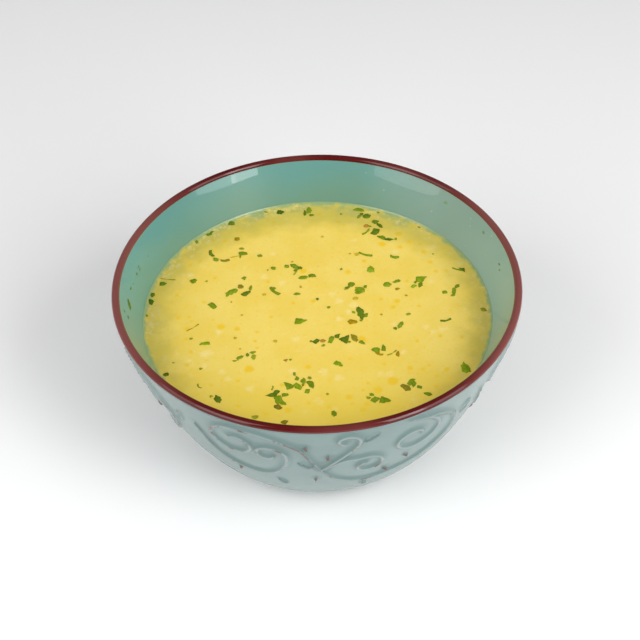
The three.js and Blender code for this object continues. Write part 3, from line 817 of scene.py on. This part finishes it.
# How far a flake's middle stands above the soup, or reaches under it, and how high the wave in
# its plate is, in millimetres. The wave turns by so many radians in a millimetre.
FLAKE_TOP = 0.40
SUNK_TOP = 0.16
FLAKE_UNDER = -0.25
FLAKE_WAVE = 0.15
WAVE_TURN = 1.1
# What the tables' lengths and widths are multiplied by, where their places are measured from,
# in millimetres off the axis, and the share of its shorter side that a flake's middle keeps
# from the soup's edge.
LENGTH_SCALE = 1.12
WIDTH_SCALE = 1.28
FLAKE_SHIFT = (-0.35, 0.8)
EDGE_SHARE = 0.2
FIRST_SEED = 1000
SEED_STEP = 37
# x, y, length, width, angle of the long side, in millimetres and degrees, then the shape
# (w wedge with its tip along the angle, l leaf, q four-cornered, o torn oval, s shred) and the
# tone (y light, b bright, g green, d dark, k darkest, f faded and sunk, m dull brown, n golden
# brown, p pale brown and sunk, r orange, s a smear on the wall).
FLAKES = [
    # near left
    (-42.5, -15.8, 3.8, 1.6, 12, "qb"), (-29, -23.6, 3.4, 1.4, 25, "lg"),
    (-24, -23.6, 3.2, 1.6, 75, "lf"), (-56.5, -31.8, 2.7, 2, -25, "ld"),
    (-36.6, -45, 4.4, 2.1, -68, "ld"), (-11.2, -38.8, 4.6, 2.6, 122, "wg"),
    (-7.4, -39.4, 3.5, 2.4, -35, "qb"), (-2.6, -39.1, 4.6, 2.3, -68, "wg"),
    (-5.4, -36.6, 3.5, 1.7, 85, "lg"), (-17.4, -43.6, 5, 2, 186, "wd"),
    (-14.6, -46, 4, 2.8, -60, "qg"), (-12.1, -43.4, 2.6, 1.8, 20, "qg"),
    (-15, -49.4, 2.9, 2.4, -40, "om"), (-12.6, -57.1, 2.8, 2, 0, "om"),
    # middle
    (-5.9, -4.5, 5, 3.5, 6, "wb"), (17, -0.5, 7.4, 2.5, 97, "ld"), (14, -5.8, 4.5, 2.3, -8, "ln"),
    (5.3, -15.4, 4, 2, 85, "qg"), (10.8, -14.8, 4.6, 3.2, 60, "wd"),
    (14.2, -15.1, 4.6, 2, -68, "lm"), (32.2, -8, 5, 1.5, 60, "lg"),
    (49.6, -5.9, 3.8, 0.9, 15, "sd"), (22.2, -21.4, 3.2, 2.4, -20, "qg"),
    (25, -20.3, 3.6, 1.6, 88, "wg"), (30.2, -23.7, 3.2, 1.4, 80, "wn"),
    (7.6, -28.3, 3.6, 2.1, -28, "wb"),
    # near right
    (54.8, -31.4, 6, 3.2, 100, "wb"), (34.4, -38.2, 3.6, 1.7, 62, "qg"),
    (32.3, -41.2, 4.6, 2.3, -60, "lm"), (20.6, -47, 3, 2.3, 60, "qg"),
    (24.5, -47.4, 4.2, 3.6, -15, "wb"), (40.2, -44.8, 3, 1.6, -20, "lg"),
    (5.5, -53.3, 2.9, 1.9, -58, "qg"),
    # far left
    (-35.8, 57.2, 3.6, 3.4, 100, "wd"), (-46, 51.7, 3.8, 3, 30, "od"),
    (-31.8, 44.9, 3, 1.8, 35, "ln"), (-14.2, 61.4, 3.6, 2.2, 5, "lk"),
    (-41.8, 36.4, 4, 1.2, -75, "sd"), (-36.5, 32, 3.5, 1.1, 2, "sm"),
    (-29.2, 35.6, 3.6, 2.2, 15, "qg"), (-8.4, 27.2, 4, 2, -40, "lg"),
    (-4.8, 20.4, 4.4, 2, 10, "lg"), (-33, 13, 5, 2.6, 20, "lg"), (-28, 11.6, 3, 2.4, 15, "od"),
    (-48.6, 19.6, 3, 2.6, 60, "og"), (-60.9, 18.4, 2.9, 2.4, 0, "od"),
    (-40.4, 5, 3.8, 2.5, -35, "qg"), (-65.3, 8.1, 3.5, 3.6, -15, "qk"),
    (-16.2, 12.8, 5, 1.1, -52, "sg"),
    # far right
    (-2.2, 62, 4, 2.4, 90, "og"), (18.7, 62.1, 5.6, 3, 182, "wg"),
    (21.8, 57.7, 3.4, 3.2, 0, "od"), (25, 53.8, 3, 2.4, 0, "od"), (27, 51.2, 3.8, 1.6, -58, "ld"),
    (24.8, 47.8, 3.8, 3.2, 80, "qd"), (27.6, 43.8, 4.4, 2.2, -30, "lg"),
    (20.2, 33.7, 5.4, 1, -25, "sg"), (32, 31.7, 3.3, 1.2, -15, "sg"),
    (22.1, 24.8, 4.1, 2.7, 90, "wy"), (14.1, 15.6, 3.4, 2, 40, "lg"),
    (17.3, 12.2, 4.8, 3, -40, "lg"), (28.3, 15, 3.5, 2.4, 5, "lg"),
    (31.9, 16.7, 3.6, 1.7, 5, "lg"), (41.6, 17.8, 4.4, 3.4, 70, "qb"),
    (41.2, 14.2, 3, 1.8, 80, "og"), (54.2, 10.4, 4, 1.5, 85, "lg"),
    (58.8, 22.6, 3.2, 1.8, -70, "wd"),
]
# Smaller bits and stems, in the same way.
BITS = [
    (-48, -13, 1.2, 1.2, 0, "of"), (-31.2, -13.3, 1.2, 1.2, 0, "op"), (-29.2, -19, 1, 1, 0, "op"),
    (-15.7, -15.2, 2.2, 2, 0, "op"), (-26.3, -22.5, 2.2, 1.2, 90, "og"),
    (-24.3, -21.2, 2.6, 1.2, 5, "lg"), (-30.5, -25.2, 2.5, 1.3, 0, "lf"),
    (-12.1, -25.7, 1.7, 1.4, 180, "wr"), (-10.2, -25.4, 1.2, 1, 0, "og"),
    (-54.2, -25.7, 1, 1, 0, "of"), (-43.6, -29.2, 1.2, 1, 0, "of"),
    (-43.8, -38.2, 2.5, 0.9, -58, "sf"), (-39.2, -43.4, 1.3, 1.2, 0, "of"),
    (-8.7, -33, 1.8, 1, 90, "qg"), (-7.9, -35.2, 2.4, 1.6, 90, "wg"),
    (-2.9, -35, 2, 1.6, 20, "lf"), (-4.1, -42, 2.2, 2, 90, "qg"),
    (-16.8, -40, 2.4, 1.5, 90, "of"), (-15.2, -42, 2.6, 2, 60, "qd"),
    (-12.8, -47.5, 3.5, 2, -30, "wg"), (-23.3, -54.3, 2.6, 1.8, 10, "of"),
    (-0.3, -15.8, 2.6, 2, 60, "qd"), (-2.3, -15.9, 1.3, 1.1, 0, "of"),
    (2, -16, 2.2, 1.6, 0, "or"), (2.2, -18.3, 1.5, 1.4, 0, "og"),
    (7.8, -13.3, 2.4, 1.8, 90, "qd"), (12, -16.7, 2, 1, 0, "lg"), (17, -17.4, 3, 1.5, -38, "wg"),
    (19, -2.2, 2.2, 1.6, 90, "qb"), (14.3, -0.5, 1.2, 1.2, 0, "qb"), (17, -5.2, 1, 1, 0, "qb"),
    (25, -2, 1, 1, 0, "op"), (35.4, -2.3, 1.8, 1.4, 0, "of"), (30, -10, 1.4, 1.2, 0, "qg"),
    (23.3, -23.2, 3, 1, -30, "sn"), (8.7, -29, 1.6, 1.2, 0, "lb"),
    (62.3, -25.2, 2, 1.7, 20, "od"), (35.2, -39.5, 3, 1.4, 70, "lg"),
    (37.2, -41.2, 2, 1.8, 0, "qg"), (19.6, -44.4, 1.8, 1.6, 0, "qb"),
    (18.2, -46, 1.8, 1.4, 0, "of"), (3.3, -43.7, 1, 1, 0, "of"), (65, -0.5, 3, 2.8, 0, "of"),
    (-48.3, 43.5, 2, 1.4, 90, "og"), (-41.3, 51.6, 2.2, 1.2, 60, "on"),
    (-20.3, 62.5, 3.2, 2, 20, "of"), (-27, 61, 1, 1, 0, "og"), (-3.9, 60.2, 3.6, 1.3, 90, "od"),
    (-1.3, 59, 2, 1.2, 0, "og"), (-40.1, 32.3, 2.2, 2, 0, "qg"), (-30.3, 34, 2.4, 0.8, 90, "lg"),
    (-22.5, 34, 1.8, 1.5, 30, "qg"), (-16.8, 26.4, 2, 1.9, 0, "qg"), (-19, 25.6, 2, 1, 60, "lf"),
    (-11.6, 27.2, 2, 1.8, 0, "qg"), (-9.3, 30, 1, 1, 0, "op"), (-1.4, 21.2, 3, 1.8, 15, "qg"),
    (-28.4, 20.8, 2, 1.5, 50, "wb"), (-29.7, 15.8, 2.4, 2.2, 60, "om"),
    (-34.7, 11.3, 2.6, 1.2, 60, "lb"), (-26.5, 12.2, 2.6, 0.9, 55, "ld"),
    (-25.8, 15, 3.6, 1, 80, "lg"), (-17, 14.3, 2.6, 1.4, 0, "lg"),
    (-20.7, 10.8, 1.8, 1.4, 0, "op"), (-7.3, 10.8, 2.8, 1.1, 5, "lg"),
    (-6, 14.8, 1.4, 0.9, 90, "op"), (-43.4, 19.5, 1, 0.9, 0, "of"),
    (-66, 24.2, 1.9, 1.2, -20, "od"), (-60.3, 31.5, 1.5, 1.4, 90, "om"),
    (-65, 12.2, 3.8, 2.3, 35, "ld"), (-66.9, 0, 2, 1.6, 90, "om"),
    (-33.3, 6.9, 1.4, 0.9, 90, "op"), (18.5, 57.3, 3, 1.2, 60, "lg"),
    (19.6, 59, 1.5, 1.2, 0, "od"), (21.3, 51.2, 2, 1.8, 0, "or"), (22.9, 50.8, 1, 1, 0, "og"),
    (33, 42.5, 1.8, 1, 60, "lb"), (26.9, 59.8, 1.6, 1.1, -20, "om"),
    (43.2, 49.7, 2.4, 1.5, -50, "om"), (11.2, 59.4, 1.2, 1.1, 0, "og"), (3, 45, 1.6, 1, 0, "lp"),
    (17, 33.6, 2.2, 1.4, 20, "lp"), (10.3, 24.8, 1.4, 0.9, 60, "og"),
    (12.4, 13.8, 3, 1.3, 45, "lg"), (19.5, 14.2, 2, 1.4, 90, "qb"), (16.5, 10.6, 3, 1.4, 0, "lg"),
    (32, 12.3, 1.8, 1.4, 0, "on"), (38.4, 13.7, 2.2, 1.7, 60, "qb"),
    (39.4, 16, 1.6, 0.9, 60, "lg"), (50.5, 9.7, 2.2, 1.8, 20, "qb"), (53.6, 7.9, 2, 1.2, 0, "lg"),
    (55.7, 13, 2.6, 1.4, 40, "lg"), (14.8, 7.2, 2.8, 1.8, 10, "op"),
    (35.2, 8.5, 1.4, 1, -30, "on"), (0.5, 7.5, 1.4, 1.1, 90, "od"), (4.8, 2.5, 1.3, 1, 0, "lg"),
    (11.5, 32.8, 0.9, 0.8, 0, "op"), (14, 34, 0.9, 0.8, 0, "op"), (1, 26.8, 0.9, 0.8, 0, "op"),
    (47.5, 32.7, 0.9, 0.8, 0, "of"), (-47.8, -7, 5.6, 0.4, 39, "sp"),
    (28, -23.1, 4, 0.5, 37, "sf"), (-60.1, 21.6, 7.8, 0.45, -13, "sf"),
    (-32.7, 34, 4.7, 0.5, 15, "sp"), (-8.3, 23.5, 3.8, 0.7, 63, "sf"),
    (56.6, 23.1, 4.2, 0.5, -25, "sg"), (21, 47.5, 4, 0.8, 49, "sg"),
    (-29.8, 38.8, 2.4, 1.4, -20, "lf"), (-6.3, 26, 2.3, 1.5, 0, "ld"),
    (-7.8, 24.8, 1.8, 1.3, 60, "qg"), (30.3, 42.4, 4, 1.5, -12, "lk"),
    (-28.9, -0.5, 1.2, 1, 0, "op"), (-5.6, -38.8, 1.4, 1.1, 90, "on"),
]
# Flecks on the wall: degrees round from the front, height, and the rest as above.
WALL_FLECKS = [
    (-86.6, 64.7, 4.6, 1.5, -36, "ld"), (-101.5, 64.4, 1.2, 1, 0, "og"),
    (-104.4, 63.6, 2, 1.2, 10, "os"), (-110.7, 63.8, 1.6, 0.6, 5, "os"),
    (-104.2, 64.9, 1.8, 0.5, 0, "os"), (-96.4, 64.5, 2, 0.5, 10, "os"),
    (-94.1, 65, 1.4, 0.7, 0, "os"), (-80.3, 66, 1.6, 0.6, 0, "os"),
    (-81.1, 68.4, 1.8, 0.8, -20, "os"), (114.2, 67.9, 1.6, 0.8, 10, "os"),
    (132.8, 67.5, 1.8, 0.9, -10, "os"), (100.2, 66, 1.3, 0.9, 0, "os"),
    (98.6, 65.1, 1.1, 0.9, 0, "os"),
]
# Corners of each shape on a flake that reaches from -1 to 1 both ways.
SHAPES = {
    "w": [(1.0, 0.0), (0.25, 0.55), (-0.65, 0.95), (-0.85, 0.1), (-0.95, -0.75), (-0.1, -0.75)],
    "l": [(1.0, 0.1), (0.45, 0.8), (-0.35, 0.9), (-1.0, -0.1), (-0.5, -0.85), (0.4, -0.8)],
    "q": [(0.95, 0.35), (0.2, 0.8), (-0.8, 0.85), (-0.95, -0.4), (-0.15, -0.7), (0.8, -0.85)],
}


def draws(seed):
    """The same draws between 0 and 1 every time: each number is the last times 16807, kept
    under 2147483647."""
    state = seed
    while True:
        state = state * 16807 % 2147483647
        yield state / 2147483647


def flake_corners(shape, long, wide, draw):
    """Corners and middle. A shred is a narrow strip that bends to one side, a torn oval has
    corners at uneven reaches, and the rest take their shape's corners, a little moved."""
    if shape == "s":
        bend = (2 * next(draw) - 1) * SHRED_BEND * wide
        corners = []
        for side in (-1, 1):
            for i in range(SHRED_STATIONS):
                along = side * (2 * i / (SHRED_STATIONS - 1) - 1)
                share = SHRED_EDGE[0] + (SHRED_EDGE[1] - SHRED_EDGE[0]) * next(draw)
                corners.append((-along * long / 2, side * share * wide + bend * (1 - along**2)))
        return np.array(corners), np.array((0, bend))
    if shape in SHAPES:
        corners = np.array(SHAPES[shape])
        nudge = np.array([next(draw) for _ in range(corners.size)]).reshape(corners.shape) - 0.5
        return (corners + CORNER_NUDGE * nudge) * (long / 2, wide / 2), np.zeros(2)
    tip = int(next(draw) * FLAKE_CORNERS)
    shortest, longest = FLAKE_TEAR
    corners = []
    for i in range(FLAKE_CORNERS):
        angle = 2 * math.pi * (i + 0.5 * next(draw)) / FLAKE_CORNERS
        reach = FLAKE_TIP if i == tip else shortest + (longest - shortest) * next(draw)
        corners.append((reach * math.cos(angle) * long / 2, reach * math.sin(angle) * wide / 2))
    return np.array(corners), np.zeros(2)


def torn_outline(corners, tear, draw):
    """The corners joined by straight sides, whose points are pushed in or out up to the tear."""
    after = np.roll(corners, -1, axis=0)
    t = np.linspace(0, 1, POINTS_PER_SIDE, endpoint=False)[None, :, None]
    line = corners[:, None] * (1 - t) + after[:, None] * t
    out = (after - corners)[:, ::-1] * (1, -1)
    out = out / np.linalg.norm(out, axis=1)[:, None]
    push = np.array([[next(draw) - 0.4 for _ in range(POINTS_PER_SIDE)] for _ in corners])
    return (line + out[:, None] * (tear * push)[..., None]).reshape(-1, 2)


def plate(outline, middle, top, under, wave):
    """A thin plate: rings of the outline drawn in towards the middle and domed by the square
    root of one less the square of their share, above and below, with a flat wave in it."""
    rings = []
    for tallest, insets in ((top, (1.0, 0.85, 0.5, 0.0)), (under, (0.85, 0.5, 0.0))):
        for inset in insets:
            flat = middle + (outline - middle) * inset
            lift = FLAKE_WAVE * np.sin(WAVE_TURN * flat.sum(1) + wave)
            ring = np.column_stack([flat, tallest * math.sqrt(1 - inset**2) + lift])
            rings.append(ring if inset else ring[:1])
    n = len(outline)
    i = np.arange(n)
    j = (i + 1) % n
    edge, top_1, top_2, top_end, under_1, under_2, under_end = (
        0, n, 2 * n, 3 * n, 3 * n + 1, 4 * n + 1, 5 * n + 1)
    faces = [np.stack([edge + i, edge + j, top_1 + j, top_1 + i], 1),
             np.stack([top_1 + i, top_1 + j, top_2 + j, top_2 + i], 1),
             np.stack([top_2 + i, top_2 + j, 0 * i + top_end], 1),
             np.stack([edge + j, edge + i, under_1 + i, under_1 + j], 1),
             np.stack([under_1 + j, under_1 + i, under_2 + i, under_2 + j], 1),
             np.stack([under_2 + j, under_2 + i, 0 * i + under_end], 1)]
    return np.vstack(rings), faces


def flake(number, place, row):
    """The plate of one flake at a place on a flat sheet, in millimetres."""
    long, wide, angle, (shape, tone) = row[2] * LENGTH_SCALE, row[3] * WIDTH_SCALE, *row[4:]
    draw = draws(FIRST_SEED + SEED_STEP * number)
    corners, middle = flake_corners(shape, long, wide, draw)
    wave = 2 * math.pi * next(draw)
    outline = torn_outline(corners, EDGE_TEAR * wide, draw)
    cos, sin = math.cos(math.radians(angle)), math.sin(math.radians(angle))
    spin = np.array([[cos, sin], [-sin, cos]])
    top = SUNK_TOP if tone in "fps" else FLAKE_TOP
    return plate(outline @ spin + place, middle @ spin + place, top, FLAKE_UNDER, wave)


def on_surface(row):
    """A flake's place on the soup, drawn in where it would cross the edge. The table's places
    are measured from a point a little off the axis."""
    place = np.array(row[:2]) + FLAKE_SHIFT
    limit = SOUP_EDGE / MM - EDGE_SHARE * min(row[2:4])
    return place * min(1, limit / math.hypot(*place))


def on_wall(row):
    """A fleck's place on a flat sheet: the way round the soup's edge and up the wall's slope."""
    around = math.radians(row[0]) * SOUP_EDGE / MM
    return around, (row[1] - SOUP_LEVEL / MM) * math.hypot(1, WALL_RUN / WALL_RISE)


def roll_on_wall(sheet):
    """Rolls a flat sheet, in millimetres round the wall, up it and off it, on to the wall."""
    steep = math.hypot(WALL_RUN, WALL_RISE)
    around, upward, off = sheet[:, 0] * MM / SOUP_EDGE, sheet[:, 1] * MM, sheet[:, 2] * MM
    radius = SOUP_EDGE + upward * WALL_RUN / steep - off * WALL_RISE / steep
    return np.column_stack([radius * np.sin(around), -radius * np.cos(around),
                            SOUP_LEVEL + upward * WALL_RISE / steep + off * WALL_RUN / steep])


def join_plates(plates):
    """One mesh from many: points one after another, faces counted on, and whose each is."""
    points, faces, owner, count = [], [], [], 0
    for number, (some_points, some_faces) in enumerate(plates):
        points.append(some_points)
        faces += [block + count for block in some_faces]
        owner.append(np.full(len(some_points), number))
        count += len(some_points)
    return np.vstack(points), faces, np.concatenate(owner)


TONES = {
    "b": (0.222, 0.310, 0.008), "g": (0.198, 0.275, 0.010), "d": (0.120, 0.184, 0.010),
    "k": (0.064, 0.130, 0.008), "f": (0.310, 0.310, 0.020), "m": (0.245, 0.203, 0.014),
    "n": (0.350, 0.225, 0.004), "p": (0.540, 0.375, 0.020), "r": (0.440, 0.215, 0.025),
    "s": (0.200, 0.300, 0.135), "y": (0.310, 0.410, 0.020),
}
DARKER_LEAF = (0.62, 0.66, 0.60)

leaf = Recipe("parsley_leaf", TONES["g"], 0.6)
patches = leaf.between(leaf.noise(900, 4), 0.35, 0.68, 0, 0.7)
tinted = leaf.blend(patches, leaf.own("tint", "Color"), DARKER_LEAF, "MULTIPLY")
leaf.fill(leaf.shader["Base Color"], tinted)
leaf.shader["Specular IOR Level"].default_value = 0.05

# Each flake is up to 15 per cent lighter or darker than its tone.
TONE_SWING = (0.85, 1.15)
TONE_SEED = 4
tone_draws = np.random.default_rng(TONE_SEED)
KINDS = {"parsley_flakes": [], "parsley_stems": [], "brown_bits": []}
for number, row in enumerate(FLAKES + BITS):
    shape, tone = row[5]
    kind = "brown_bits" if tone in "mnpr" else "parsley_stems" if shape == "s" else "parsley_flakes"
    KINDS[kind].append((flake(number, on_surface(row), row), tone))
KINDS["wall_flecks"] = [(flake(number, on_wall(row), row), row[5][1])
                        for number, row in enumerate(WALL_FLECKS, len(FLAKES + BITS))]
for name, kind in KINDS.items():
    points, faces, owner = join_plates([one for one, _ in kind])
    points = roll_on_wall(points) if name == "wall_flecks" else points * MM + (0, 0, SOUP_LEVEL)
    piece = make_piece(name, points, faces, leaf.material)
    tones = np.array([TONES[tone] for _, tone in kind])
    tones = tones * tone_draws.uniform(*TONE_SWING, (len(kind), 1))
    layer = piece.data.attributes.new("tint", "FLOAT_COLOR", "POINT")
    layer.data.foreach_set("color", np.column_stack([tones, np.ones(len(tones))])[owner].ravel())
